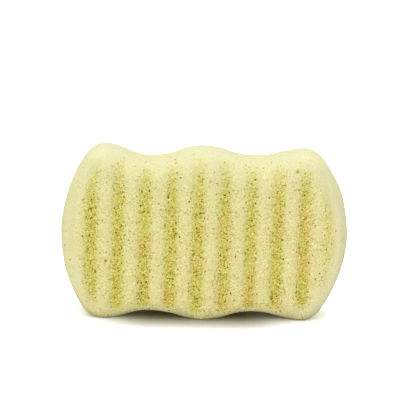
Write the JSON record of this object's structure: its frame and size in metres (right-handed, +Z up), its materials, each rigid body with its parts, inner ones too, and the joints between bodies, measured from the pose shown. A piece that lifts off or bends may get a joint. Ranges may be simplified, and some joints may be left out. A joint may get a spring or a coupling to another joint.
{
  "type": "konjac sponge",
  "caption": "Moulded plant-foam bath sponge with a scalloped outline, bulging ends, a ribbed washing face and a flat back.",
  "frame": {"origin": "on the standing surface, below the middle of the block", "axes": "+X along the length, +Y from the ribbed washing face to the flat back, +Z up"},
  "size_m": [0.13, 0.032, 0.077],
  "materials": {
    "konjac_foam": "matte open-celled foam, pale lemon with a smoother skin on the ribs and rims and fine pores in the grooves"
  },
  "bodies": {
    "root": {"sponge_body": "konjac_foam"}
  },
  "joints": []
}
